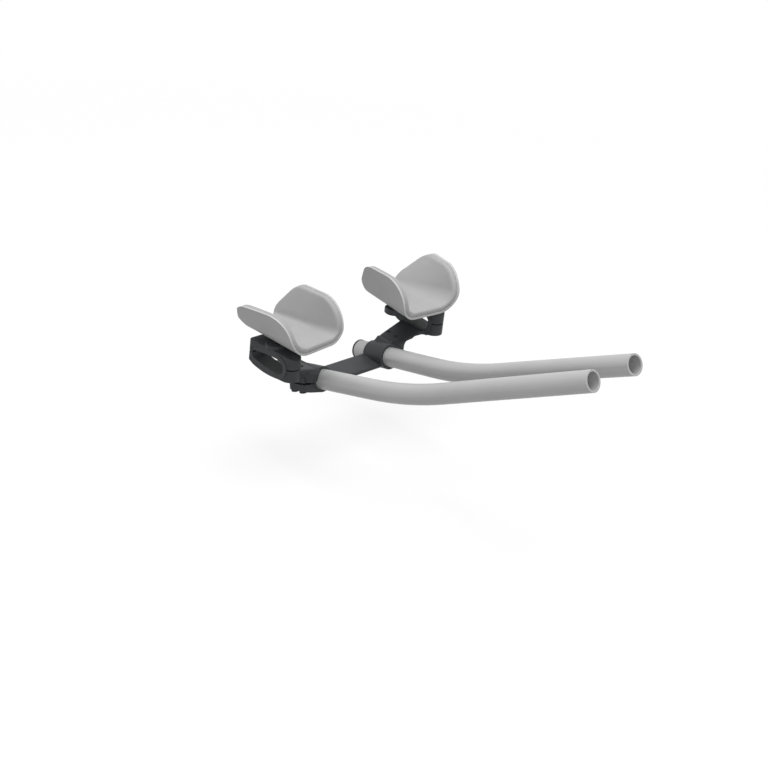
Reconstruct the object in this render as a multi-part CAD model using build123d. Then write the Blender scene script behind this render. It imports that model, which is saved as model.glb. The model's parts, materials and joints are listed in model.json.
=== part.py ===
from build123d import *
import math
import os

# Clip-on aero handlebar extension, in millimetres.
# +X points forward, +Y to the rider's left, +Z up.
# The origin lies midway between the two bar clamps, at the centre of the wing-shaped bar section.
# Every left-hand piece is built once and mirrored across the XZ plane.

# Wing section of the bar that the clamps grip: a blunt nose circle and a smaller tail circle
NOSE_X = 16.2
NOSE_RADIUS = 8.2
TAIL_X = -20.4
TAIL_RADIUS = 4.6

# Bar clamps
CLAMP_Y = 109.9
CLAMP_WIDTH = 19.6
CLAMP_FRONT_X = 35.2
CLAMP_REAR_X = -31.0
CLAMP_REAR_ROUND = 3.0
CAP_TOP_Z = 15.2
SPLIT_Z = 1.1
SPLIT_GAP = 1.8
CLAMP_BOLT_X = 30.8
CLAMP_SEAT_Z = -7.8
EDGE_BREAK = 0.8
# Top of the cap, dropping towards the nose, as (X, Z)
CROWN_REAR = (22.0, 15.2)
CROWN_MID = (30.0, 14.2)
CROWN_NOSE = (35.2, 11.8)
# Belly of the lower half, from tail to nose, as (X, Z)
BELLY_TAIL = (-31.0, -8.0)
BELLY_REAR = (-22.5, -12.0)
BELLY_MID = (-4.5, -14.6)
BELLY_FRONT = (16.0, -13.6)
BELLY_NOSE = (35.2, -12.4)

# Rubber liner between bar and clamp
LINER_WALL = 3.0
LINER_FIT = 0.05
LINER_LIP = 1.7
LINER_LIP_THICKNESS = 0.9
LINER_LIP_OUTBOARD_X = 15.0
LINER_LIP_INBOARD_X = 25.5
LINER_BEAD_RADIUS = 1.7

# Hook at the tail of each clamp, where the two halves interlock
HOOK_WIDTH = 8.0
HOOK_LIP = 2.2
HOOK_NOSE = 2.2
HOOK_TOP_Z = 9.6
HOOK_NOSE_HEIGHT = 3.2
HOOK_FOOT = 2.0
HOOK_FIT = 0.15

# Armrest plate on the upper clamp
PLATE_X = -1.0
PLATE_TOP_Z = 18.4
PLATE_THICKNESS = 6.5
PLATE_WIDTH = 21.4
HOLE_SPACING = 20.85
HOLE_COUNT = 3

# Extension tubes: straight, one gentle upward bend, straight
TUBE_DIAMETER = 22.2
TUBE_WALL = 2.0
TUBE_PITCH = 13.0
TUBE_END_PITCH = 26.0
TUBE_TOE_IN = 3.4
TUBE_REAR_LENGTH = 50.0
TUBE_STRAIGHT = 71.4
TUBE_BEND_RADIUS = 426.0
TUBE_FRONT_LENGTH = 188.0

# Extension clamps on the bridge; each front face is centred on its tube's axis
BOSS_FACE = (16.5, 51.8, -32.0)
BOSS_RADIUS = 14.3
BOSS_LENGTH = 30.0
BORE_FIT = 0.05
SLOT_GAP = 1.8
JAW_TOP = 13.0
JAW_FRONT = 2.0
JAW_ROUND = 9.0
JAW_SLOPE_START = 5.0
SEAM_RADIUS = 16.4
SEAM_FIT = 0.1
EAR_REACH = 25.3
EAR_END_DEPTH = 8.4
EAR_CORNER = 7.0
KEY_INSET = 4.5
KEY_HEIGHT = 6.0
KEY_ROOT = 12.4
KEY_REACH = 24.0
KEY_FIT = 0.1
PINCH_OFFSET = 20.2
PINCH_STATIONS = (-11.0, -23.0)
PINCH_SEAT_DEPTH = 6.4
PINCH_BOLT_LENGTH = 16.0

# Web between the extension clamps
WEB_FRONT_X = 13.5
WEB_REAR_X = -16.0
WEB_FRONT_TOP_Z = -40.3
WEB_REAR_TOP_Z = -37.0
WEB_THICKNESS = 4.6

# Arm from the lower clamp to the extension clamp
ARM_START = 8.0
ARM_END_Y = 77.5
ARM_ROOT_Y = 101.5
ARM_ROOT_TOP_Z = -9.6
ARM_ROOT_FRONT_X = 18.5
ARM_ROOT_REAR_X = -16.0
ARM_ROOT_ROUND = 3.0
ARM_BOTTOM_Z = -14.6
ARM_HOLLOW_RADIUS = 13.0
# Second hollow under the arm's front corner, in a plan turned to follow the ear's round end
ARM_CORNER = (20.0, 69.5, -23.4)
ARM_CORNER_TURN = 32.0
ARM_CORNER_RADIUS = 6.0
ARM_CORNER_RISE = 9.4
ARM_GUSSET_RADIUS = 5.5
ARM_GUSSET_TOP_Z = -10.6
ARM_GUSSET_BOTTOM_Z = -14.4

# Armrests: the trough's section near its two ends, then its side outline
CUP_SHELL = 2.5
PAD_THICKNESS = 6.0
CUP_Y = 93.2
CUP_TOE_IN = 5.8
CUP_FRONT_STATION = 42.0
CUP_REAR_STATION = -52.0
# Inboard and outboard wing: floor half-width, corner radius, lean in degrees
CUP_FRONT_SECTION = ((26.5, 18.0, 85.0), (10.0, 31.0, 80.0))
CUP_REAR_SECTION = ((20.5, 12.6, 65.0), (1.0, 26.0, 44.5))
CUP_HEIGHT = 43.8
CUP_FRONT = 38.5
CUP_FRONT_ROUND = 33.0
CUP_REAR = -45.8
CUP_REAR_LEAN = 57.0
CUP_REAR_ROUND = 19.0
CUP_TIP_ROUND = 13.5

# Fasteners: shank diameter, head diameter, head height, key size
M4_SOCKET = (4.0, 7.0, 4.0, 3.0)
M5_SOCKET = (5.0, 8.5, 5.0, 4.0)
M5_FLAT = (5.0, 9.4, 2.4, 3.0)
CLAMP_BOLT_LENGTH = 18.0
ARMREST_BOLT_LENGTH = 8.6
HOLE_FIT = 0.1

# Rubber plug in the rear end of each tube
PLUG_FLANGE = 3.0
PLUG_FLANGE_PROUD = 0.4
PLUG_FLANGE_BREAK = 1.1
PLUG_NECK_RADIUS = 6.0
PLUG_NECK_LENGTH = 3.0
PLUG_RIB_COUNT = 3
PLUG_RIB_SPACING = 3.6
PLUG_RIB_CREST = 0.3
PLUG_RIB_DEPTH = 1.2
PLUG_RIB_TAPER = 0.5
PLUG_HOLLOW_RADIUS = 4.2

# A length beyond every piece, for tools that trim
BEYOND = 200.0

toe = math.radians(TUBE_TOE_IN)
pitch = math.radians(TUBE_PITCH)
end_pitch = math.radians(TUBE_END_PITCH)
outboard = Vector(math.sin(toe), math.cos(toe), 0)
forward = Vector(math.cos(toe), -math.sin(toe), 0)
upward = Vector(0, 0, 1)
cup_toe = math.radians(CUP_TOE_IN)
cup_outboard = Vector(math.sin(cup_toe), math.cos(cup_toe), 0)
cup_forward = Vector(math.cos(cup_toe), -math.sin(cup_toe), 0)
along_tube = forward * math.cos(pitch) + upward * math.sin(pitch)

# In the boss frame x runs outboard, y square to the tube and up, z along the tube
boss_frame = Plane(origin=BOSS_FACE, x_dir=outboard, z_dir=along_tube)
# In the toe frame x runs forward under the tube, y straight up, z inboard
toe_frame = Plane(origin=BOSS_FACE, x_dir=forward, z_dir=outboard * -1)
# In the seam frame x runs outboard, y straight up, z forward
seam_frame = Plane(origin=BOSS_FACE, x_dir=outboard, z_dir=forward)

split_top = SPLIT_Z + SPLIT_GAP / 2
split_bottom = SPLIT_Z - SPLIT_GAP / 2
hole_rows = [CLAMP_Y - HOLE_SPACING * i for i in range(HOLE_COUNT)]
plate_mid_y = sum(hole_rows) / HOLE_COUNT
armrest_holes = hole_rows[1:]
tube_radius = TUBE_DIAMETER / 2
tube_inner_radius = tube_radius - TUBE_WALL
bore_radius = tube_radius + BORE_FIT
clamp_inboard_y = CLAMP_Y - CLAMP_WIDTH / 2
clamp_outboard_y = CLAMP_Y + CLAMP_WIDTH / 2
jaw_rear = -BOSS_LENGTH * math.cos(pitch)
UP = (Align.CENTER, Align.CENTER, Align.MIN)
DOWN = (Align.CENTER, Align.CENTER, Align.MAX)


def side_plane(y):
    """Plane at a given Y with x forward and y up; its normal points to -Y."""
    return Plane(origin=(0, y, 0), x_dir=(1, 0, 0), z_dir=(0, -1, 0))


def across(face, y_from, y_to):
    """Extrude an outline drawn in (X, Z) from one Y to another."""
    return extrude(side_plane(y_from) * face, amount=y_from - y_to)


def round_corner(centre, radius, start_angle, end_angle):
    """Circular arc about a centre, between two angles in degrees."""
    def at(angle):
        turn = math.radians(angle)
        return (centre[0] + radius * math.cos(turn), centre[1] + radius * math.sin(turn))

    return ThreePointArc(at(start_angle), at((start_angle + end_angle) / 2), at(end_angle))


def closed_face(*curves):
    """Face inside a chain of curves, closed by a straight line from its last point to its first."""
    chain = Curve() + list(curves)
    return make_face(chain + Line(curves[-1] @ 1, curves[0] @ 0))


# Fasteners

def socket_bolt(size, length):
    """Socket-head bolt with its seat at the origin, shank up and head down."""
    shank, head, height, key = size
    cap = Cylinder(head / 2, height, align=DOWN)
    cap = chamfer(cap.edges().sort_by(Axis.Z)[0], head / 20)
    recess = extrude(RegularPolygon(key / 2, 6, major_radius=False), amount=height / 2)
    return cap + Cylinder(shank / 2, length, align=UP) - Pos(0, 0, -height) * recess


def flat_bolt(size, length):
    """Countersunk bolt with its flat top at the origin, pointing down."""
    shank, head, height, key = size
    cone = Cone(shank / 2, head / 2, height, align=DOWN)
    recess = extrude(RegularPolygon(key / 2, 6, major_radius=False), amount=-height * 0.7)
    return cone + Cylinder(shank / 2, length, align=DOWN) - recess


def flat_bolt_hole(size):
    """Countersunk clearance hole, with its mouth at the origin."""
    shank, head, height, _ = size
    cone = Cone(shank / 2 + HOLE_FIT, head / 2 + HOLE_FIT, height, align=DOWN)
    return cone + Cylinder(shank / 2 + HOLE_FIT, PLATE_THICKNESS, align=DOWN)


# Bar clamps

def wing_outline(grow):
    """Wing section: nose and tail circles joined by two tangent arcs, offset outwards by grow."""
    run = NOSE_X - TAIL_X
    flank = (run**2 + NOSE_RADIUS**2 - TAIL_RADIUS**2) / (2 * (NOSE_RADIUS - TAIL_RADIUS))
    taper = math.degrees(math.asin(run / (flank - TAIL_RADIUS)))
    nose = NOSE_RADIUS + grow
    tail = TAIL_RADIUS + grow
    top_centre = (NOSE_X, NOSE_RADIUS - flank)
    bottom_centre = (NOSE_X, flank - NOSE_RADIUS)
    outline = [
        round_corner((NOSE_X, 0), nose, -90, 90),
        round_corner(top_centre, flank + grow, 90, 90 + taper),
        round_corner((TAIL_X, 0), tail, 90 + taper, 270 - taper),
        round_corner(bottom_centre, flank + grow, 270 - taper, 270),
    ]
    return make_face(Curve() + outline)


def bar_passage(grow):
    """Wing-shaped prism along Y, longer than the clamp is wide."""
    return across(wing_outline(grow), clamp_inboard_y - CLAMP_WIDTH, clamp_outboard_y + CLAMP_WIDTH)


def clamp_plan():
    """Plan of the clamp about its own centre line: a round nose and a square tail with eased corners."""
    half = CLAMP_WIDTH / 2
    nose = CLAMP_FRONT_X - half
    plan = closed_face(
        Line((CLAMP_REAR_X, -half), (nose, -half)),
        round_corner((nose, 0), half, -90, 90),
        Line((nose, half), (CLAMP_REAR_X, half)),
    )
    return fillet(plan.vertices().group_by(Axis.X)[0], CLAMP_REAR_ROUND)


def clamp_block(z_low, z_high):
    """Block between two heights, with a crown that drops to the nose and a belly bowed under the bar."""
    block = Pos(0, CLAMP_Y, z_low) * extrude(clamp_plan(), amount=z_high - z_low)
    side = closed_face(
        Polyline((CLAMP_REAR_X, CAP_TOP_Z), BELLY_TAIL, BELLY_REAR),
        ThreePointArc(BELLY_REAR, BELLY_MID, BELLY_FRONT),
        Polyline(BELLY_FRONT, BELLY_NOSE, CROWN_NOSE),
        ThreePointArc(CROWN_NOSE, CROWN_MID, CROWN_REAR),
    )
    return block & across(side, clamp_inboard_y, clamp_outboard_y)


def hook(fit):
    """Lip and nose that rise from the lower half's tail, grown by a fit for the cap's notch."""
    rear = CLAMP_REAR_X - fit
    lip_front = CLAMP_REAR_X + HOOK_LIP + fit
    nose_front = lip_front + HOOK_NOSE
    top = HOOK_TOP_Z + fit
    nose_bottom = HOOK_TOP_Z - HOOK_NOSE_HEIGHT - fit
    foot = split_bottom - HOOK_FOOT
    outline = Polyline(
        (rear, foot), (lip_front, foot), (lip_front, nose_bottom),
        (nose_front, nose_bottom), (nose_front, top), (rear, top), close=True,
    )
    half = HOOK_WIDTH / 2 + fit
    return across(make_face(outline), CLAMP_Y - half, CLAMP_Y + half)


def build_upper_clamp():
    """Cap with its bolt boss and the three-hole armrest plate."""
    cap = clamp_block(split_top, CAP_TOP_Z)
    flat, nose = [face.edges() for face in cap.faces().sort_by(Axis.Z)[-1:-3:-1]]
    rim = [edge for edge in flat + nose if abs(edge.center().X - CROWN_REAR[0]) > 1]
    cap = chamfer(rim, EDGE_BREAK)
    plan = SlotCenterToCenter(HOLE_SPACING * (HOLE_COUNT - 1), PLATE_WIDTH, rotation=90)
    plate = Pos(PLATE_X, plate_mid_y, PLATE_TOP_Z) * extrude(plan, amount=-PLATE_THICKNESS)
    plate = chamfer(plate.faces().filter_by(Axis.Z).edges(), EDGE_BREAK)
    clamp = cap + plate - bar_passage(LINER_WALL)
    for y in hole_rows:
        hole = Cylinder(M5_FLAT[0] / 2 + HOLE_FIT, PLATE_THICKNESS, align=DOWN)
        clamp -= Pos(PLATE_X, y, PLATE_TOP_Z) * hole
    thread_depth = CLAMP_SEAT_Z + CLAMP_BOLT_LENGTH + 1 - split_top
    thread = Cylinder(M4_SOCKET[0] / 2 + HOLE_FIT, thread_depth, align=UP)
    clamp -= Pos(CLAMP_BOLT_X, CLAMP_Y, split_top) * thread
    return clamp - hook(HOOK_FIT)


def arm_section(plane, front, rear, top, bottom, corner):
    """Side outline of the arm: a block with a rounded upper front corner."""
    return plane * closed_face(
        Line((front, bottom), (front, top - corner)),
        round_corner((front - corner, top - corner), corner, 0, 90),
        Polyline((front - corner, top), (rear, top), (rear, bottom)),
    )


def below_slot():
    """Everything under the upper face of the extension clamp's slot."""
    return boss_frame * Pos(0, SLOT_GAP / 2 - BEYOND / 2, 0) * Box(BEYOND, BEYOND, BEYOND)


def jaw_key(fit):
    """Key that reaches from the bridge's upper jaw into the arm's underside."""
    length = BOSS_LENGTH - 2 * KEY_INSET + 2 * fit
    reach = KEY_REACH - KEY_ROOT + fit
    height = KEY_HEIGHT + fit
    middle = (KEY_ROOT + reach / 2, SLOT_GAP / 2 + height / 2, -BOSS_LENGTH / 2)
    return boss_frame * Pos(*middle) * Box(reach, height, length)


def pinch_axis(station):
    """Frame of a pinch bolt on its seat: its z axis is square to the tube and points up."""
    return boss_frame * Pos(PINCH_OFFSET, -PINCH_SEAT_DEPTH, station) * Rot(-90, 0, 0)


def pinch_holes(radius):
    """Straight holes along both pinch bolts."""
    return [pinch_axis(station) * Cylinder(radius, BEYOND) for station in PINCH_STATIONS]


def arm_gusset():
    """Hollow-curved gusset in plan, where the arm's front meets the clamp."""
    centre = (ARM_ROOT_FRONT_X + ARM_GUSSET_RADIUS, clamp_inboard_y - ARM_GUSSET_RADIUS)
    front, inner = centre
    rear = ARM_ROOT_FRONT_X - ARM_ROOT_ROUND
    outer = clamp_inboard_y + ARM_ROOT_ROUND
    plan = closed_face(
        round_corner(centre, ARM_GUSSET_RADIUS, 180, 90),
        Polyline((front, clamp_inboard_y), (front, outer), (rear, outer), (rear, inner)),
    )
    return Pos(0, 0, ARM_GUSSET_BOTTOM_Z) * extrude(plan, amount=ARM_GUSSET_TOP_Z - ARM_GUSSET_BOTTOM_Z)


def hollow(plane, radius, rise):
    """Space along a plane's normal: up a wall at x = 0, round a hollow, then out at a slight rise."""
    bend = round_corner((radius, 0), radius, 180, 90 + rise)
    far = BEYOND * math.tan(math.radians(rise))
    profile = closed_face(
        Line((0, -BEYOND), (0, 0)), bend,
        Polyline(bend @ 1, bend @ 1 + Vector(BEYOND, far), (BEYOND, -BEYOND)),
    )
    return extrude(plane * profile, amount=BEYOND, both=True)


def under_arm():
    """Space under the arm: a straight hollow, and one that opens the front corner beside the ear."""
    foot = (0, ARM_END_Y, ARM_BOTTOM_Z - ARM_HOLLOW_RADIUS)
    straight = Plane(origin=foot, x_dir=(0, 1, 0), z_dir=(1, 0, 0))
    turn = math.radians(ARM_CORNER_TURN)
    outwards = Vector(math.sin(turn), math.cos(turn), 0)
    corner = Plane(origin=ARM_CORNER, x_dir=outwards, z_dir=outwards.cross(upward))
    return hollow(straight, ARM_HOLLOW_RADIUS, 0) + hollow(corner, ARM_CORNER_RADIUS, ARM_CORNER_RISE)


def build_lower_clamp():
    """Lower half of the bar clamp with the arm that reaches to the bridge."""
    deep = -2 * JAW_TOP
    sections = [
        arm_section(toe_frame.offset(-ARM_START), JAW_FRONT, jaw_rear, JAW_TOP, deep, JAW_ROUND),
        arm_section(side_plane(ARM_ROOT_Y), ARM_ROOT_FRONT_X, ARM_ROOT_REAR_X, ARM_ROOT_TOP_Z,
                    BOSS_FACE[2] + deep, ARM_ROOT_ROUND),
    ]
    arm = loft(sections, ruled=True) - below_slot() - under_arm() - jaw_key(KEY_FIT)
    arm -= seam_frame * Cylinder(SEAM_RADIUS + SEAM_FIT, BEYOND)
    for hole in pinch_holes(M5_SOCKET[0] / 2 + HOLE_FIT):
        arm -= hole
    clamp = clamp_block(-BEYOND, split_bottom) + arm + arm_gusset() - bar_passage(LINER_WALL)
    clamp -= Pos(CLAMP_BOLT_X, CLAMP_Y, 0) * Cylinder(M4_SOCKET[0] / 2 + 2 * HOLE_FIT, BEYOND)
    pocket = Cylinder(M4_SOCKET[1] / 2 + 2 * HOLE_FIT, BEYOND, align=DOWN)
    clamp -= Pos(CLAMP_BOLT_X, CLAMP_Y, CLAMP_SEAT_Z) * pocket
    return clamp + hook(0)


def build_liner():
    """Rubber sleeve, slit at the tail, with nose lips on both faces and a bead along the slit."""
    sleeve_wall = wing_outline(LINER_WALL - LINER_FIT) - wing_outline(0)
    lip_wall = wing_outline(LINER_WALL + LINER_LIP) - wing_outline(0)
    sleeve = across(sleeve_wall, clamp_inboard_y, clamp_outboard_y)
    faces = (
        (clamp_inboard_y, clamp_inboard_y - LINER_LIP_THICKNESS, LINER_LIP_INBOARD_X),
        (clamp_outboard_y, clamp_outboard_y + LINER_LIP_THICKNESS, LINER_LIP_OUTBOARD_X),
    )
    for face_y, lip_y, lip_start_x in faces:
        ahead = Box(BEYOND, BEYOND, BEYOND, align=(Align.MIN, Align.CENTER, Align.CENTER))
        sleeve += across(lip_wall, face_y, lip_y) & Pos(lip_start_x, CLAMP_Y, 0) * ahead
    tail_x = TAIL_X - TAIL_RADIUS - LINER_WALL / 2
    slit = Pos(tail_x, CLAMP_Y, SPLIT_Z) * Box(2 * LINER_WALL, 2 * CLAMP_WIDTH, SPLIT_GAP)
    bead = across(Pos(tail_x, split_top + LINER_BEAD_RADIUS) * Circle(LINER_BEAD_RADIUS),
                  clamp_outboard_y, clamp_outboard_y + LINER_LIP_THICKNESS)
    return sleeve - slit + bead


# Extension tubes

def build_extension():
    """Tube swept along two straights and one arc, in the vertical plane of its toe-in."""
    def heading(angle):
        return Vector(math.cos(angle), math.sin(angle))

    rear_end = heading(pitch) * -TUBE_REAR_LENGTH
    bend_start = heading(pitch) * TUBE_STRAIGHT
    centre = bend_start + Vector(-math.sin(pitch), math.cos(pitch)) * TUBE_BEND_RADIUS
    bend = round_corner((centre.X, centre.Y), TUBE_BEND_RADIUS, TUBE_PITCH - 90, TUBE_END_PITCH - 90)
    front_end = bend @ 1 + heading(end_pitch) * TUBE_FRONT_LENGTH
    path = toe_frame * (Curve() + [Line(rear_end, bend_start), bend, Line(bend @ 1, front_end)])
    ring = Circle(tube_radius) - Circle(tube_inner_radius)
    return sweep(boss_frame.offset(-TUBE_REAR_LENGTH) * ring, path=path.wires()[0])


def build_rear_plug():
    """Push-in plug with a domed flange, a neck and a ribbed hollow end inside the tube."""
    edge = tube_radius + PLUG_FLANGE_PROUD
    profile = [
        (0, -PLUG_FLANGE), (edge - 2 * PLUG_FLANGE_BREAK, -PLUG_FLANGE),
        (edge, PLUG_FLANGE_BREAK - PLUG_FLANGE), (edge, 0),
        (PLUG_NECK_RADIUS, 0), (PLUG_NECK_RADIUS, PLUG_NECK_LENGTH),
    ]
    for i in range(PLUG_RIB_COUNT):
        crest = tube_inner_radius - BORE_FIT - PLUG_RIB_TAPER * i
        start = PLUG_NECK_LENGTH + PLUG_RIB_SPACING * i
        profile += [(crest - PLUG_RIB_DEPTH, start), (crest, start + PLUG_RIB_SPACING * PLUG_RIB_CREST)]
    tip = PLUG_NECK_LENGTH + PLUG_RIB_SPACING * PLUG_RIB_COUNT
    profile += [(PLUG_NECK_RADIUS, tip), (PLUG_HOLLOW_RADIUS, tip), (PLUG_HOLLOW_RADIUS, 1), (0, 1)]
    plug = revolve(Plane.XZ * make_face(Polyline(*profile, close=True)), axis=Axis.Z)
    return boss_frame.offset(-TUBE_REAR_LENGTH) * plug


# Bridge

def build_extension_clamp():
    """One end of the bridge around its tube: boss, upper jaw, key and lower ear."""
    boss = Pos(0, 0, -BOSS_LENGTH / 2) * Cylinder(BOSS_RADIUS, BOSS_LENGTH)
    ear_outline = Polyline(
        (0, 0), (0, -BOSS_RADIUS), (BOSS_RADIUS * 0.3, -BOSS_RADIUS * 0.95),
        (EAR_REACH, -EAR_END_DEPTH), (EAR_REACH, 0), close=True,
    )
    ear = extrude(make_face(ear_outline), amount=-BOSS_LENGTH)
    ear = fillet(ear.edges().filter_by(Axis.Y).group_by(Axis.X)[-1], EAR_CORNER)
    clamp = boss_frame * (boss + ear)
    side = arm_section(toe_frame, JAW_FRONT, jaw_rear, JAW_TOP, -JAW_TOP, JAW_ROUND)
    jaw = extrude(side, amount=-SEAM_RADIUS) & seam_frame * Cylinder(SEAM_RADIUS, BEYOND)
    drop = JAW_SLOPE_START + JAW_TOP
    slope = Polyline(
        (JAW_SLOPE_START, JAW_TOP), (JAW_SLOPE_START - drop, JAW_TOP - drop),
        (JAW_SLOPE_START - drop, drop), (JAW_SLOPE_START, drop), close=True,
    )
    jaw -= extrude(seam_frame * make_face(slope), amount=BEYOND, both=True)
    return clamp + (jaw - below_slot()) + jaw_key(0)


def clamp_openings():
    """Bore, slot and bolt holes of one extension clamp."""
    slot = Box(2 * EAR_REACH, SLOT_GAP, BEYOND, align=(Align.MIN, Align.CENTER, Align.CENTER))
    bore = Cylinder(bore_radius, BEYOND)
    spot = Cylinder(M5_SOCKET[1] / 2 + 2 * HOLE_FIT, BEYOND, align=DOWN)
    seats = [pinch_axis(station) * spot for station in PINCH_STATIONS]
    return [boss_frame * slot, boss_frame * bore, *seats, *pinch_holes(M5_SOCKET[0] / 2 + 2 * HOLE_FIT)]


def build_bridge():
    """Both extension clamps and the thin web between them, as one piece."""
    fall = math.atan2(WEB_REAR_TOP_Z - WEB_FRONT_TOP_Z, WEB_FRONT_X - WEB_REAR_X)
    middle_x = (WEB_FRONT_X + WEB_REAR_X) / 2
    middle_z = (WEB_FRONT_TOP_Z + WEB_REAR_TOP_Z - WEB_THICKNESS) / 2
    chord = (math.cos(fall), 0, -math.sin(fall))
    web_plane = Plane(origin=(middle_x, 0, middle_z), x_dir=chord, z_dir=(0, -1, 0))
    section = SlotOverall((WEB_FRONT_X - WEB_REAR_X) / math.cos(fall), WEB_THICKNESS)
    web = extrude(web_plane * section, amount=BOSS_FACE[1] - BOSS_RADIUS / 2, both=True)
    clamp = build_extension_clamp()
    bridge = clamp + mirror(clamp, about=Plane.XZ) + web
    for opening in clamp_openings():
        bridge -= opening
        bridge -= mirror(opening, about=Plane.XZ)
    return bridge


# Armrests

def cup_plane(station):
    """Plane across the armrest, x outboard and y up, at a distance forward of its middle."""
    origin = Vector(0, CUP_Y, PLATE_TOP_Z) + cup_forward * station
    return Plane(origin=origin, x_dir=cup_outboard, z_dir=cup_forward)


def trough_section(section, inset):
    """Open-topped trough outline, inset from its outer skin."""
    lid = 2 * CUP_HEIGHT

    def wing(sign, floor, corner, lean):
        bend = round_corner((sign * floor, corner), corner - inset, -90, -90 + sign * lean)
        end = bend @ 1
        top = (end.X + sign * (lid - end.Y) / math.tan(math.radians(lean)), lid)
        return bend, top

    inner, inner_top = wing(-1, *section[0])
    outer, outer_top = wing(1, *section[1])
    rim = Polyline(outer @ 1, outer_top, inner_top, inner @ 1)
    return make_face(Curve() + [Line(inner @ 0, outer @ 0), outer, rim, inner])


def trough(inset):
    """Solid inside the trough's skin, wider and rounder at its rear than at its front."""
    return loft([
        cup_plane(CUP_REAR_STATION) * trough_section(CUP_REAR_SECTION, inset),
        cup_plane(CUP_FRONT_STATION) * trough_section(CUP_FRONT_SECTION, inset),
    ], ruled=True)


def armrest_envelope():
    """Side shape of the armrest: round front corner, and a rear edge leaning forward above a round tip."""
    side = Plane(origin=(0, CUP_Y, PLATE_TOP_Z), x_dir=cup_forward, z_dir=cup_outboard * -1)
    lean = math.radians(CUP_REAR_LEAN)
    front_centre = (CUP_FRONT - CUP_FRONT_ROUND, CUP_HEIGHT - CUP_FRONT_ROUND)
    tip_centre = (CUP_REAR + CUP_TIP_ROUND, CUP_TIP_ROUND)
    rear_height = CUP_HEIGHT - CUP_REAR_ROUND
    run = (rear_height - CUP_TIP_ROUND) / math.tan(lean)
    rear_x = tip_centre[0] + run + (CUP_REAR_ROUND - CUP_TIP_ROUND) / math.sin(lean)
    tip = round_corner(tip_centre, CUP_TIP_ROUND, 270, 90 + CUP_REAR_LEAN)
    rear = round_corner((rear_x, rear_height), CUP_REAR_ROUND, 90 + CUP_REAR_LEAN, 90)
    front = round_corner(front_centre, CUP_FRONT_ROUND, 90, 0)
    outline = closed_face(
        Line((tip_centre[0], -CUP_SHELL), tip @ 0), tip, Line(tip @ 1, rear @ 0), rear,
        Line(rear @ 1, front @ 0), front, Line(front @ 1, (CUP_FRONT, -CUP_SHELL)),
    )
    return extrude(side * outline, amount=BEYOND / 2, both=True)


def build_armrest():
    """Moulded cup and the foam pad that lines it."""
    envelope = armrest_envelope()
    lined = trough(CUP_SHELL)
    cup = (trough(0) - lined) & envelope
    pad = (lined - trough(CUP_SHELL + PAD_THICKNESS)) & envelope
    for y in armrest_holes:
        cup -= Pos(PLATE_X, y, PLATE_TOP_Z + CUP_SHELL) * flat_bolt_hole(M5_FLAT)
    return cup, pad


# Nodes

def write(name, *solids):
    """Write one node; identical fasteners share a node as separate solids."""
    piece = solids[0] if len(solids) == 1 else Compound(children=list(solids))
    export_step(piece, f"parts/{name}.step")


def write_pair(name, *solids):
    """Write a left-hand node and its mirror image."""
    write("left_" + name, *solids)
    write("right_" + name, *[mirror(solid, about=Plane.XZ) for solid in solids])


os.makedirs("parts", exist_ok=True)

clamp_seat = Pos(CLAMP_BOLT_X, CLAMP_Y, CLAMP_SEAT_Z)
pinch_seats = [pinch_axis(station) for station in PINCH_STATIONS]
cup_seats = [Pos(PLATE_X, y, PLATE_TOP_Z + CUP_SHELL) for y in armrest_holes]
armrest_cup, armrest_pad = build_armrest()

write("bridge", build_bridge())
write_pair("upper_clamp", build_upper_clamp())
write_pair("lower_clamp", build_lower_clamp())
write_pair("liner", build_liner())
write_pair("clamp_bolt", clamp_seat * socket_bolt(M4_SOCKET, CLAMP_BOLT_LENGTH))
write_pair("pinch_bolts", *[seat * socket_bolt(M5_SOCKET, PINCH_BOLT_LENGTH) for seat in pinch_seats])
write_pair("extension", build_extension())
write_pair("rear_plug", build_rear_plug())
write_pair("armrest_cup", armrest_cup)
write_pair("armrest_pad", armrest_pad)
write_pair("armrest_bolts", *[seat * flat_bolt(M5_FLAT, ARMREST_BOLT_LENGTH) for seat in cup_seats])
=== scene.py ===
# %% [markdown]
# # Clip-on aero handlebar extension
# Two dark clamps carry a bridge that hangs between them. The bridge holds two long tubes that the rider
# reaches along, and a padded cup on each clamp takes a forearm.
# The pieces arrive at their real size and place from the frame. This lesson gives them their surfaces,
# turns the two pads into soft foam, knurls the bolt heads, and sets up light and camera.

import json
import math

import bmesh
import bpy
from mathutils import Matrix, Vector
from mathutils.bvhtree import BVHTree


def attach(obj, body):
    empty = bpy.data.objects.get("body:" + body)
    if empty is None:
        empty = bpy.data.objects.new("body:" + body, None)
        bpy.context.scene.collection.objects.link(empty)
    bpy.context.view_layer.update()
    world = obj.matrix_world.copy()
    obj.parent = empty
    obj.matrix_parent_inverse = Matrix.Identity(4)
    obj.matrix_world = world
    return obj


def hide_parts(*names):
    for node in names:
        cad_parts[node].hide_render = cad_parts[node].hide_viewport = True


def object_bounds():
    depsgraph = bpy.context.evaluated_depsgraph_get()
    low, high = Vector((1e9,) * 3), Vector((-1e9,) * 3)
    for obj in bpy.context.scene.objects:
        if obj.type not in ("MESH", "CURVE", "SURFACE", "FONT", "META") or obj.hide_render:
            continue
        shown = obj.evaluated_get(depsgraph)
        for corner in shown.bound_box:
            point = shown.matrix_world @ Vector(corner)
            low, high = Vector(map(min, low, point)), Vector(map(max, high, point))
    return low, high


MM = 0.001
SIDES = {"left": 1, "right": -1}

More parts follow.
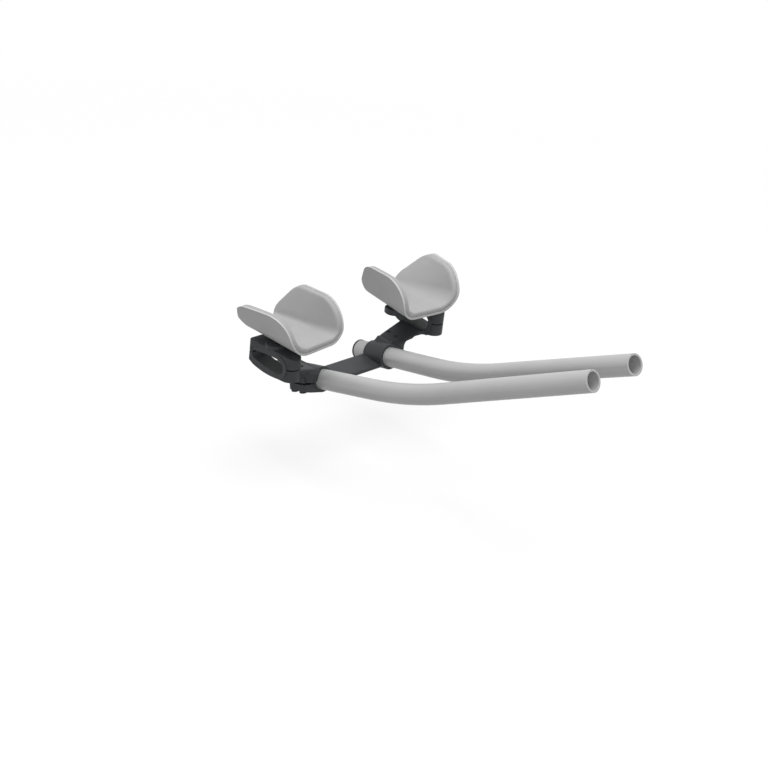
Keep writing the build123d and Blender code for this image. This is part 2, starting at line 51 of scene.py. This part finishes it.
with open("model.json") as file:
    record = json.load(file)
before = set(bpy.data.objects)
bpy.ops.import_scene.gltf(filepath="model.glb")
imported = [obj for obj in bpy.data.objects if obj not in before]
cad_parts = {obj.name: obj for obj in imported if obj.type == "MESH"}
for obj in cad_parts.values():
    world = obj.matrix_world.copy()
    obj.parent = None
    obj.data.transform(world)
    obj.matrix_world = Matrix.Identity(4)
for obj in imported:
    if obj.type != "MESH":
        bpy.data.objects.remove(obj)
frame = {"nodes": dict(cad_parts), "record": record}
nodes = frame["nodes"]
cad_low, cad_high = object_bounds()
print("pieces:", len(nodes), "size in mm:", [round(x / MM, 1) for x in cad_high - cad_low])

# %% [markdown]
# ## Colours and nodes
# A colour picked from a swatch is written in sRGB, but a shader works with linear light, so one function
# converts. A second small function adds a node, sets it and wires it, which keeps every material short.

# %% Two helpers for materials
def linear(swatch):
    """Linear RGBA of an sRGB hex colour such as #808080."""
    channels = [int(swatch[i:i + 2], 16) / 255 for i in (1, 3, 5)]
    return [*(c / 12.92 if c <= 0.04045 else ((c + 0.055) / 1.055) ** 2.4 for c in channels), 1.0]


def add_node(tree, kind, settings=None, values=None, links=None):
    """Add a node, set its properties and socket values, and link sockets into its inputs."""
    node = tree.nodes.new(kind)
    for name, value in (settings or {}).items():
        setattr(node, name, value)
    for name, value in (values or {}).items():
        node.inputs[name].default_value = value
    for name, source in (links or {}).items():
        tree.links.new(source, node.inputs[name])
    return node


print("mid grey in linear light:", round(linear("#808080")[0], 3))

# %% [markdown]
# ## One recipe for every finish
# All the finishes here are quiet: one colour, a little uneven, with a fine grain that breaks up the
# reflection. So one function builds the shared network: a cloudy noise that varies the colour, a fine noise
# for grain in roughness and bump, and a bevel that softens the sharp edges of the solids. The same bevel
# marks a band along every edge that is painted in an edge colour of its own: painted highlight where it is
# lighter, painted shade where it is darker. Every finish then only gives its own sizes and colours.
#
# The bevel's normal and the face's own normal agree on a flat face and part at an edge. Their dot product
# therefore tells where an edge is, without painting a mask by hand.

# %% The shared recipe
# A Mix node set to colours keeps them in these sockets, after the sockets for numbers and vectors.
MIX_A = 6
MIX_B = 7
MIX_RESULT = 2
CLOUD_DETAIL = 3.0
GRAIN_DETAIL = 2.0
BEVEL_SAMPLES = 6
EDGE_BEGINS = 0.99
EDGE_FULL = 0.75


def surface(name, colour, shade, cloud_mm, grain_mm, grain_height_mm,
            roughness, edge_mm, painted_edge_colour, sockets):
    """Material with clouded colour, grain in roughness and bump, and softened edges in a painted edge
    colour: painted highlight where it is lighter, painted shade where it is darker.
    """
    material = bpy.data.materials.new(name)
    material.use_nodes = True
    tree = material.node_tree
    tree.nodes.clear()
    place = add_node(tree, "ShaderNodeTexCoord").outputs["Object"]
    cloud = add_node(tree, "ShaderNodeTexNoise", links={"Vector": place},
                     values={"Scale": 1 / (cloud_mm * MM), "Detail": CLOUD_DETAIL})
    grain = add_node(tree, "ShaderNodeTexNoise", links={"Vector": place},
                     values={"Scale": 1 / (grain_mm * MM), "Detail": GRAIN_DETAIL})
    tint = add_node(tree, "ShaderNodeMix", {"data_type": "RGBA"},
                    {MIX_A: linear(colour), MIX_B: linear(shade)}, {"Factor": cloud.outputs["Fac"]})
    rounded = add_node(tree, "ShaderNodeBevel", {"samples": BEVEL_SAMPLES}, {"Radius": edge_mm * MM})
    flat = add_node(tree, "ShaderNodeNewGeometry")
    turn = add_node(tree, "ShaderNodeVectorMath", {"operation": "DOT_PRODUCT"},
                    links={0: rounded.outputs["Normal"], 1: flat.outputs["Normal"]})
    # Painted edge light: the bevel marks a band along each edge, and that band takes the edge colour, a
    # painted highlight where it is lighter than the body and painted shade where it is darker.
    painted_edge_mask = add_node(tree, "ShaderNodeMapRange", links={"Value": turn.outputs["Value"]},
                   values={"From Min": EDGE_BEGINS, "From Max": EDGE_FULL, "To Min": 0.0, "To Max": 1.0})
    tint_with_painted_edges = add_node(tree, "ShaderNodeMix", {"data_type": "RGBA"}, {MIX_B: linear(painted_edge_colour)},
                    {"Factor": painted_edge_mask.outputs["Result"], MIX_A: tint.outputs[MIX_RESULT]})
    gloss = add_node(tree, "ShaderNodeMapRange", links={"Value": grain.outputs["Fac"]},
                     values={"To Min": roughness[0], "To Max": roughness[1]})
    bump = add_node(tree, "ShaderNodeBump", values={"Strength": 1.0, "Distance": grain_height_mm * MM},
                    links={"Height": grain.outputs["Fac"], "Normal": rounded.outputs["Normal"]})
    skin = add_node(tree, "ShaderNodeBsdfPrincipled", values=sockets, links={
        "Base Color": tint_with_painted_edges.outputs[MIX_RESULT], "Roughness": gloss.outputs["Result"],
        "Normal": bump.outputs["Normal"]})
    add_node(tree, "ShaderNodeOutputMaterial", links={"Surface": skin.outputs["BSDF"]})
    return material


# %% [markdown]
# ## The finishes
# The clamps and the bridge are aluminium, bead-blasted and then anodised charcoal, and the tubes are
# aluminium with a pale satin anodising. The cups are moulded nylon, the pads closed-cell foam with a moulded
# skin, the liners and plugs moulded rubber, and the bolts steel with black oxide.
# Image textures would need unwrapped faces, so every finish is procedural, on the pieces' own coordinates.

# %% Metal finishes
finishes = {}

# Blasting leaves a fine grain that spreads the highlight, and the dyed oxide hides most of the metal's
# shine. The grit is about 0.1 mm; it is drawn at 0.45 mm, so that it shows at this distance.
# The lighter edge colour paints a highlight along every edge.
finishes["dark_anodised"] = surface(
    "charcoal_anodised_aluminium", colour="#434547", shade="#3a3c3e", cloud_mm=14, grain_mm=0.45,
    grain_height_mm=0.03, roughness=(0.38, 0.52), edge_mm=0.6, painted_edge_colour="#6a6c6e",
    sockets={"Metallic": 0.08, "Specular IOR Level": 0.18})

# A smooth drawn tube under a milky oxide: one soft streak of light along it, and a cut end that is lit
# bright and carries a painted highlight along its edges from the lighter edge colour.
finishes["grey_tube"] = surface(
    "pale_anodised_aluminium", colour="#b8b8b8", shade="#afafaf", cloud_mm=40, grain_mm=0.6,
    grain_height_mm=0.01, roughness=(0.30, 0.40), edge_mm=0.3, painted_edge_colour="#d0d0d0",
    sockets={"Metallic": 0.12, "Specular IOR Level": 0.3})

# The oxide layer is dark but thin, so the steel still gleams through it.
# The lighter edge colour paints a highlight along the head's edges.
finishes["bolt_steel"] = surface(
    "black_oxide_steel", colour="#2e2e30", shade="#262628", cloud_mm=6, grain_mm=0.4,
    grain_height_mm=0.01, roughness=(0.30, 0.42), edge_mm=0.25, painted_edge_colour="#4a4a4c",
    sockets={"Metallic": 0.6, "Specular IOR Level": 0.5})

# %% Plastic, foam and rubber finishes
# Nylon takes the spark-eroded grain of its mould: an even, half-matt sheet.
# The darker edge colour paints shade over the rims, where the lamps light the shell brightly.
finishes["grey_shell"] = surface(
    "moulded_grey_nylon", colour="#bfbfbf", shade="#b7b7b7", cloud_mm=25, grain_mm=0.7,
    grain_height_mm=0.03, roughness=(0.45, 0.58), edge_mm=0.8, painted_edge_colour="#b2b2b2",
    sockets={"Metallic": 0.0, "Specular IOR Level": 0.4})

# The closed skin of the foam is dull, with a faint bloom at grazing angles.
# The slightly lighter edge colour paints a faint highlight along the pad's edges.
finishes["grey_foam"] = surface(
    "skinned_grey_foam", colour="#a7a7a7", shade="#9f9f9f", cloud_mm=20, grain_mm=0.9,
    grain_height_mm=0.05, roughness=(0.60, 0.75), edge_mm=0.3, painted_edge_colour="#ababab",
    sockets={"Metallic": 0.0, "Specular IOR Level": 0.25, "Sheen Weight": 0.15, "Sheen Roughness": 0.5})

# Grey rubber is matt, close to the metal in tone but without its highlight.
# The lighter edge colour paints a highlight along the liner's edges.
finishes["liner_rubber"] = surface(
    "moulded_grey_rubber", colour="#464749", shade="#3e3f40", cloud_mm=10, grain_mm=0.5,
    grain_height_mm=0.02, roughness=(0.50, 0.62), edge_mm=0.3, painted_edge_colour="#565759",
    sockets={"Metallic": 0.0, "Specular IOR Level": 0.25})

# Black rubber from a polished mould: nearly no colour, with a soft broad shine.
# The lighter edge colour paints a highlight along the plug's edges.
finishes["plug_rubber"] = surface(
    "moulded_black_rubber", colour="#1b1b1c", shade="#161617", cloud_mm=10, grain_mm=0.5,
    grain_height_mm=0.02, roughness=(0.45, 0.60), edge_mm=0.4, painted_edge_colour="#29292a",
    sockets={"Metallic": 0.0, "Specular IOR Level": 0.4})

# %% Finish each slot
slot_of = {row["node"]: row["material_slot"] for row in frame["record"]["subparts"]}
for name, piece in nodes.items():
    piece.data.materials.clear()
    piece.data.materials.append(finishes[slot_of[name]])
print("finishes:", sorted(material.name for material in finishes.values()))

# %% [markdown]
# ## Foam pads
# Each armrest pad is a slab of moulded foam glued into its cup. Its free faces are slightly crowned and its
# rim is soft, which no solid modeller gives cheaply. A subdivision cage could be shaped by hand, but foam
# behaves like a skin under pressure, so the pad's own solid is remeshed, its glued back is held, and a
# short cloth simulation inflates the rest.
# Three helpers come first, to copy a solid's mesh and to turn modifiers into plain mesh.

# %% Helpers for meshes
MERGE_WITHIN = 0.01 * MM


def evaluated_mesh(piece):
    """Plain mesh of a piece with its modifiers applied."""
    graph = bpy.context.evaluated_depsgraph_get()
    return bpy.data.meshes.new_from_object(piece.evaluated_get(graph))


def bake_modifiers(piece):
    """Replace a piece's mesh by its modified form and drop the modifiers."""
    mesh = evaluated_mesh(piece)
    piece.modifiers.clear()
    piece.data = mesh


def merged_copy(name, source):
    """New object with a copy of a solid's mesh, its loose triangles joined."""
    mesh = source.data.copy()
    shape = bmesh.new()
    shape.from_mesh(mesh)
    bmesh.ops.remove_doubles(shape, verts=shape.verts, dist=MERGE_WITHIN)
    shape.to_mesh(mesh)
    shape.free()
    piece = bpy.data.objects.new(name, mesh)
    bpy.context.scene.collection.objects.link(piece)
    return piece


# %% [markdown]
# ## Glue and pressure
# Remeshing blunts sharp edges, so foam that is almost at the shell is first pressed back onto it. Glue
# holds a pad firmly there, and less with every millimetre away from the shell. A vertex group stores that
# as a weight. Cloth reads the weight as a pin, and smoothing reads it upside down, so the line along the
# shell stays crisp while the free rim rounds off. A stiff skin keeps wrinkles out, and a cap on the travel
# keeps the pad the size it was made.

# %% Hold, swell and smooth
GLUE_FADE = 4.5 * MM
PRESSED_WITHIN = 0.7 * MM
SWELL_CAP = 1.5 * MM
PAD_PRESSURE = 4.0
SKIN_TENSION = 40.0
SKIN_BENDING = 10.0
SWELL_FRAMES = 20
SMOOTH_FACTOR = 0.5


def glue(piece, base):
    """Press a piece onto its base and name a vertex group that is 1 there and fades to 0 a short way off."""
    base_faces = BVHTree.FromObject(base, bpy.context.evaluated_depsgraph_get())
    group = piece.vertex_groups.new(name="glue")
    for vertex in piece.data.vertices:
        touch, _, _, distance = base_faces.find_nearest(vertex.co)
        if distance < PRESSED_WITHIN:
            vertex.co = touch
        group.add([vertex.index], max(0.0, 1.0 - distance / GLUE_FADE), "REPLACE")
    return group.name


def swell(piece, held):
    """Inflate a piece as cloth, held by its glue, with every move capped."""
    start = [vertex.co.copy() for vertex in piece.data.vertices]
    cloth = piece.modifiers.new("swell", "CLOTH")
    cloth.settings.use_pressure = True
    cloth.settings.uniform_pressure_force = PAD_PRESSURE
    cloth.settings.tension_stiffness = SKIN_TENSION
    cloth.settings.bending_stiffness = SKIN_BENDING
    cloth.settings.vertex_group_mass = held
    cloth.settings.effector_weights.gravity = 0.0
    cloth.collision_settings.use_collision = False
    for number in range(1, SWELL_FRAMES + 1):
        bpy.context.scene.frame_set(number)
    bake_modifiers(piece)
    bpy.context.scene.frame_set(1)
    for vertex, before in zip(piece.data.vertices, start):
        move = vertex.co - before
        if move.length > SWELL_CAP:
            vertex.co = before + move * (SWELL_CAP / move.length)


def ease(piece, rounds, held):
    """Smooth a piece's surface a number of rounds, and less where a vertex group holds it."""
    smooth = piece.modifiers.new("ease", "SMOOTH")
    smooth.factor = SMOOTH_FACTOR
    smooth.iterations = rounds
    smooth.vertex_group = held
    smooth.invert_vertex_group = True
    bake_modifiers(piece)


# %% [markdown]
# ## Making the two pads
# A voxel remesh turns the solid's long triangles into even squares, which cloth needs. The squares are small
# enough to follow the pad's thin edge, and one subdivision at the end hides them.

# %% Make the pads
PAD_VOXEL = 1.2 * MM
RIM_ROUNDING = 10
SKIN_EASING = 10


def foam_pad(side):
    """Soft pad that fills the place of its solid inside the cup."""
    pad = merged_copy(f"{side}_foam_pad", nodes[f"{side}_armrest_pad"])
    remesh = pad.modifiers.new("remesh", "REMESH")
    remesh.mode = "VOXEL"
    remesh.voxel_size = PAD_VOXEL
    bake_modifiers(pad)
    held = glue(pad, nodes[f"{side}_armrest_cup"])
    ease(pad, RIM_ROUNDING, held)
    swell(pad, held)
    ease(pad, SKIN_EASING, held)
    finer = pad.modifiers.new("finer", "SUBSURF")
    finer.levels = 1
    finer.render_levels = 1
    bake_modifiers(pad)
    pad.data.materials.clear()
    pad.data.materials.append(finishes["grey_foam"])
    pad.data.polygons.foreach_set("use_smooth", [True] * len(pad.data.polygons))
    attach(pad, "root")
    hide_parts(f"{side}_armrest_pad")
    return pad


for side in SIDES:
    print("faces of the", side, "pad:", len(foam_pad(side).data.polygons))

# %% [markdown]
# ## Knurled bolt heads
# A socket-head bolt is knurled so that fingers can start it: a roller presses fine straight ridges around
# the head. They are alike, so Geometry Nodes copies one ridge around a circle instead of modelling each.
# A round bar is enough for a ridge, because most of it lies inside the head.

# %% Ridges by Geometry Nodes
BAR_SIDES = 10


def knurl_tree():
    """Node group that copies a bar around a circle about Z and gives the copies a material."""
    tree = bpy.data.node_groups.new("knurl", "GeometryNodeTree")
    sockets = {
        "Count": "NodeSocketInt", "Ring Radius": "NodeSocketFloat", "Ridge Radius": "NodeSocketFloat",
        "Length": "NodeSocketFloat", "Material": "NodeSocketMaterial",
    }
    for name, kind in sockets.items():
        tree.interface.new_socket(name, in_out="INPUT", socket_type=kind)
    tree.interface.new_socket("Geometry", in_out="OUTPUT", socket_type="NodeSocketGeometry")
    given = add_node(tree, "NodeGroupInput").outputs
    ring = add_node(tree, "GeometryNodeMeshCircle",
                    links={"Vertices": given["Count"], "Radius": given["Ring Radius"]})
    bar = add_node(tree, "GeometryNodeMeshCylinder", values={"Vertices": BAR_SIDES},
                   links={"Radius": given["Ridge Radius"], "Depth": given["Length"]})
    copies = add_node(tree, "GeometryNodeInstanceOnPoints",
                      links={"Points": ring.outputs["Mesh"], "Instance": bar.outputs["Mesh"]})
    real = add_node(tree, "GeometryNodeRealizeInstances", links={"Geometry": copies.outputs["Instances"]})
    done = add_node(tree, "GeometryNodeSetMaterial",
                    links={"Geometry": real.outputs["Geometry"], "Material": given["Material"]})
    add_node(tree, "NodeGroupOutput", links={"Geometry": done.outputs["Geometry"]})
    return tree


def knurl(name, tree, head, settings):
    """Ridges around one bolt head, with their place written into the mesh."""
    piece = bpy.data.objects.new(name, bpy.data.meshes.new(name))
    bpy.context.scene.collection.objects.link(piece)
    modifier = piece.modifiers.new("knurl", "NODES")
    modifier.node_group = tree
    for socket in tree.interface.items_tree:
        if socket.in_out == "INPUT":
            modifier[socket.identifier] = settings[socket.name]
    bake_modifiers(piece)
    piece.data.transform(head)
    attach(piece, "root")
    return piece


# %% [markdown]
# ## Where the heads sit
# Two pinch bolts close each split clamp around its tube, so they stand square to a tube that climbs and
# toes in. One upright bolt closes the nose of each outer clamp. The lengths here are in millimetres.

# %% Place the ridges
TUBE_TOE = math.radians(3.4)
TUBE_PITCH = math.radians(13.0)
BOSS_FRONT = (16.5, 51.8, -32.0)
PINCH_OUTBOARD = 20.2
PINCH_SEAT_DROP = 6.4
PINCH_STATIONS = (-11.0, -23.0)
PINCH_HEAD_RADIUS = 4.25
PINCH_HEAD_HEIGHT = 5.0
CLAMP_HEAD_MIDDLE = (30.8, 109.9, -9.8)
CLAMP_HEAD_RADIUS = 3.5
CLAMP_HEAD_HEIGHT = 4.0
RIDGE_COUNT = 36
RIDGE_RADIUS = 0.3
RIDGE_PROUD = 0.1
HEAD_MARGIN = 0.5


def bolt_heads(side, sign):
    """Name, middle, axis, radius and height of each socket head of one side."""
    mirror = Vector((1, sign, 1))
    outboard = Vector((math.sin(TUBE_TOE), math.cos(TUBE_TOE), 0))
    forward = Vector((math.cos(TUBE_TOE) * math.cos(TUBE_PITCH), -math.sin(TUBE_TOE) * math.cos(TUBE_PITCH),
                      math.sin(TUBE_PITCH)))
    square = forward.cross(outboard)
    heads = []
    for number, station in enumerate(PINCH_STATIONS, start=1):
        seat = Vector(BOSS_FRONT) + outboard * PINCH_OUTBOARD - square * PINCH_SEAT_DROP + forward * station
        middle = seat - square * (PINCH_HEAD_HEIGHT / 2)
        heads.append((f"{side}_pinch_knurl_{number}", middle * mirror, square * mirror,
                      PINCH_HEAD_RADIUS, PINCH_HEAD_HEIGHT))
    heads.append((f"{side}_clamp_knurl", Vector(CLAMP_HEAD_MIDDLE) * mirror, Vector((0, 0, 1)),
                  CLAMP_HEAD_RADIUS, CLAMP_HEAD_HEIGHT))
    return heads


ridges = knurl_tree()
for side, sign in SIDES.items():
    for name, middle, axis, radius, height in bolt_heads(side, sign):
        head = Matrix.Translation(middle * MM) @ axis.to_track_quat("Z", "Y").to_matrix().to_4x4()
        knurl(name, ridges, head, {
            "Count": RIDGE_COUNT, "Ring Radius": (radius + RIDGE_PROUD - RIDGE_RADIUS) * MM,
            "Ridge Radius": RIDGE_RADIUS * MM, "Length": (height - 2 * HEAD_MARGIN) * MM,
            "Material": finishes["bolt_steel"]})
print("ridges on each head:", RIDGE_COUNT)

# %% [markdown]
# ## Floor
# The backdrop is white where the camera or a reflection looks at it, and the floor still takes a faint
# shadow near the object. What it throws back at the object is the light of a grey card, which keeps the
# undersides darker than the tops. A plain white floor would need far more light to look white, and that
# light would bleach the object. From below the floor is clear, so that the underside can be looked at.

# %% White floor with a shadow
FLOOR_DROP = 70 * MM
FLOOR_HALF = 8.0
FLOOR_WHITE = 0.8
SHADOW_REACH = 0.5
WHITE_REACH = 1.6


def seen_by_eye(tree):
    """Socket that is 1 for rays that show the backdrop: from the camera, a reflection or through glass."""
    path = add_node(tree, "ShaderNodeLightPath")
    glossy = add_node(tree, "ShaderNodeMath", {"operation": "MAXIMUM"},
                      links={0: path.outputs["Is Camera Ray"], 1: path.outputs["Is Glossy Ray"]})
    either = add_node(tree, "ShaderNodeMath", {"operation": "MAXIMUM"},
                      links={0: glossy.outputs["Value"], 1: path.outputs["Is Transmission Ray"]})
    return either.outputs["Value"]


def floor_card():
    """Material that shows as white with a faint shadow and lights like a grey card."""
    material = bpy.data.materials.new("white_backdrop_card")
    material.use_nodes = True
    tree = material.node_tree
    tree.nodes.clear()
    grey = add_node(tree, "ShaderNodeBsdfDiffuse", values={"Color": linear("#8a8a8a")})
    card = add_node(tree, "ShaderNodeBsdfDiffuse", values={"Color": linear("#f8f8f8")})
    white = add_node(tree, "ShaderNodeEmission", values={"Color": linear("#ffffff"), "Strength": 1.0})
    place = add_node(tree, "ShaderNodeTexCoord").outputs["Object"]
    reach = add_node(tree, "ShaderNodeVectorMath", {"operation": "LENGTH"}, links={0: place})
    whiter = add_node(tree, "ShaderNodeMapRange", links={"Value": reach.outputs["Value"]}, values={
        "From Min": SHADOW_REACH, "From Max": WHITE_REACH, "To Min": FLOOR_WHITE, "To Max": 1.0})
    lit = add_node(tree, "ShaderNodeMixShader", links={
        0: whiter.outputs["Result"], 1: card.outputs["BSDF"], 2: white.outputs["Emission"]})
    both = add_node(tree, "ShaderNodeMixShader",
                    links={0: seen_by_eye(tree), 1: grey.outputs["BSDF"], 2: lit.outputs["Shader"]})
    clear = add_node(tree, "ShaderNodeBsdfTransparent")
    below = add_node(tree, "ShaderNodeNewGeometry").outputs["Backfacing"]
    open_below = add_node(tree, "ShaderNodeMixShader",
                          links={0: below, 1: both.outputs["Shader"], 2: clear.outputs["BSDF"]})
    add_node(tree, "ShaderNodeOutputMaterial", links={"Surface": open_below.outputs["Shader"]})
    return material


floor_height = cad_low.z - FLOOR_DROP
corners = [(x * FLOOR_HALF, y * FLOOR_HALF, floor_height) for x, y in ((-1, -1), (1, -1), (1, 1), (-1, 1))]
floor = bpy.data.objects.new("floor", bpy.data.meshes.new("floor"))
floor.data.from_pydata(corners, [], [(0, 1, 2, 3)])
floor.data.materials.append(floor_card())
bpy.context.scene.collection.objects.link(floor)
print("floor at", round(floor_height / MM, 1), "mm")

# %% [markdown]
# ## Light
# Dark parts want broad light from above, so that top faces read clearly and the sides fall away. A wide soft
# box hangs over the object, a smaller one near the viewer looks into the tubes, and the world adds an even
# fill. A single lamp would leave the clamps under the cups black.

# %% World and lamps
FILL_LIGHT = 0.45
OVERHEAD = {"place": (0.0, 0.1, 2.6), "size": 2.2, "watts": 62.0}
VIEWER_SIDE = {"place": (1.4, -1.5, 1.0), "size": 0.7, "watts": 14.0}


def studio_world():
    """World that fills evenly and shows as white."""
    world = bpy.data.worlds.new("studio")
    bpy.context.scene.world = world
    world.use_nodes = True
    tree = world.node_tree
    tree.nodes.clear()
    strength = add_node(tree, "ShaderNodeMapRange", values={"To Min": FILL_LIGHT, "To Max": 1.0},
                        links={"Value": seen_by_eye(tree)})
    sky = add_node(tree, "ShaderNodeBackground", values={"Color": linear("#ffffff")},
                   links={"Strength": strength.outputs["Result"]})
    add_node(tree, "ShaderNodeOutputWorld", links={"Surface": sky.outputs["Background"]})


def soft_box(name, place, size, watts):
    """Square area lamp at a place seen from the object's middle, turned towards that middle."""
    lamp = bpy.data.lights.new(name, "AREA")
    lamp.shape = "SQUARE"
    lamp.size = size
    lamp.energy = watts
    box = bpy.data.objects.new(name, lamp)
    aim = (-Vector(place)).to_track_quat("-Z", "Y")
    hung = Matrix.Translation((cad_low + cad_high) / 2 + Vector(place))
    box.matrix_world = hung @ aim.to_matrix().to_4x4()
    bpy.context.scene.collection.objects.link(box)


studio_world()
soft_box("overhead", **OVERHEAD)
soft_box("viewer_side", **VIEWER_SIDE)
print("lamps in watts:", OVERHEAD["watts"], VIEWER_SIDE["watts"])

# %% [markdown]
# ## Camera
# The view is from ahead and to the rider's right, looking down a little, with a moderate telephoto lens.
# The camera's place and its three angles are stated outright, so its matrix is built from them.

# %% Camera
VIEW_TURN = math.radians(48.078)
VIEW_DROP = math.radians(25.838)
VIEW_ROLL = math.radians(6.798)
VIEW_PLACE = Vector((1094.56, -1153.75, 716.72)) * MM
LENS_MM = 74.582
SENSOR_MM = 36.0
CLIP_START = 0.05
CLIP_END = 50.0

ahead = Vector((-math.cos(VIEW_TURN) * math.cos(VIEW_DROP), math.sin(VIEW_TURN) * math.cos(VIEW_DROP),
                -math.sin(VIEW_DROP)))
level = Vector((math.sin(VIEW_TURN), math.cos(VIEW_TURN), 0))
upright = level.cross(ahead)
right = level * math.cos(VIEW_ROLL) + upright * math.sin(VIEW_ROLL)
top = upright * math.cos(VIEW_ROLL) - level * math.sin(VIEW_ROLL)
lens = bpy.data.cameras.new("view")
lens.sensor_width = SENSOR_MM
lens.lens = LENS_MM
lens.clip_start = CLIP_START
lens.clip_end = CLIP_END
camera = bpy.data.objects.new("view", lens)
turned = Matrix((right, top, -ahead)).transposed().to_4x4()
camera.matrix_world = Matrix.Translation(VIEW_PLACE) @ turned
bpy.context.scene.collection.objects.link(camera)
bpy.context.scene.camera = camera
bpy.context.scene.view_settings.view_transform = "Standard"
print("camera is", round(VIEW_PLACE.length, 2), "m away")

# %% [markdown]
# ## Bring the scene up to date
# The dressed object should be no bigger than its solids. Here the view layer is only brought up to date.

# %% Update the view layer
bpy.context.view_layer.update()
